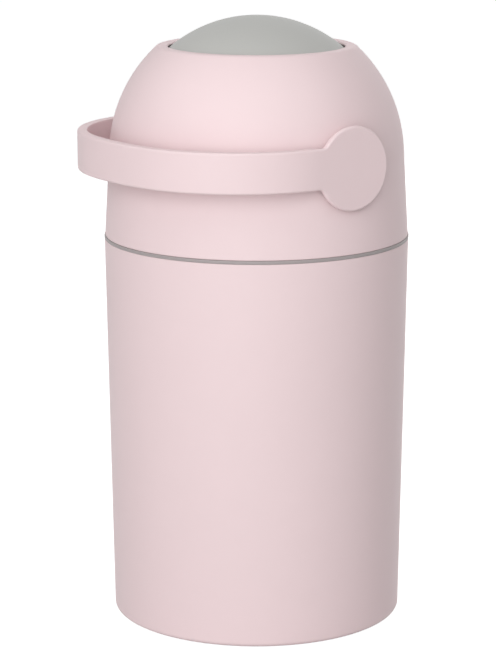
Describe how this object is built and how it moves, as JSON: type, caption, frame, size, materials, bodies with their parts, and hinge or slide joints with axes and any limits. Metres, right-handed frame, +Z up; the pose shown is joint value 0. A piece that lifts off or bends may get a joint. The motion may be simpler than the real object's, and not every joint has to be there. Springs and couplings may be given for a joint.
{
  "type": "nappy bin",
  "caption": "Tall round nappy bin with a domed head, a loop handle that flips a ball-shaped drum over, and a lift-off bag ring.",
  "frame": {"origin": "on the ground, on the bin's axis", "axes": "+Z up; X along the handle's pivot; the handle lies towards -Y at rest"},
  "size_m": [0.2788, 0.2932, 0.545],
  "materials": {
    "pink_shell": "satin moulded",
    "grey_shell": "satin moulded",
    "ring_grey": "satin moulded",
    "acetal": "smooth moulded",
    "seal_rubber": "matt",
    "screw_steel": "satin"
  },
  "bodies": {
    "bin": {"bin_body": "pink_shell", "base_pad": "seal_rubber"},
    "ring": {"bag_ring": "ring_grey"},
    "head": {"head_shell": "pink_shell", "head_base": "grey_shell", "upper_seal": "seal_rubber", "lower_seal": "seal_rubber", "ring_gasket": "seal_rubber", "bush_left": "acetal", "bush_right": "acetal", "head_base_screws": "screw_steel"},
    "drum": {"drum_dome": "grey_shell", "drum_cup": "grey_shell", "drum_gasket": "seal_rubber", "drum_screws": "screw_steel", "pivot_washer_left": "seal_rubber", "pivot_washer_right": "seal_rubber", "pivot_pin_left": "acetal", "pivot_pin_right": "acetal", "pivot_screws": "screw_steel", "handle": "pink_shell"},
    "piston": {"piston_body": "acetal", "piston_cap": "grey_shell", "piston_weight": "screw_steel", "piston_wiper": "seal_rubber", "piston_screws": "screw_steel"}
  },
  "joints": [
    {"name": "ring_lift", "type": "slide", "parent": "bin", "child": "ring", "axis": [0, 0, 1], "range_m": [0, 0.12]},
    {"name": "head_turn", "type": "hinge", "parent": "ring", "child": "head", "pos_m": [0, 0, 0.3495], "axis": [0, 0, 1], "range_deg": [0, 18]},
    {"name": "handle_flip", "type": "hinge", "parent": "head", "child": "drum", "pos_m": [0, 0, 0.425], "axis": [-1, 0, 0], "range_deg": [0, 180]},
    {"name": "piston_slide", "type": "slide", "parent": "drum", "child": "piston", "axis": [0, 0, 1], "range_m": [0, 0.1435]}
  ]
}
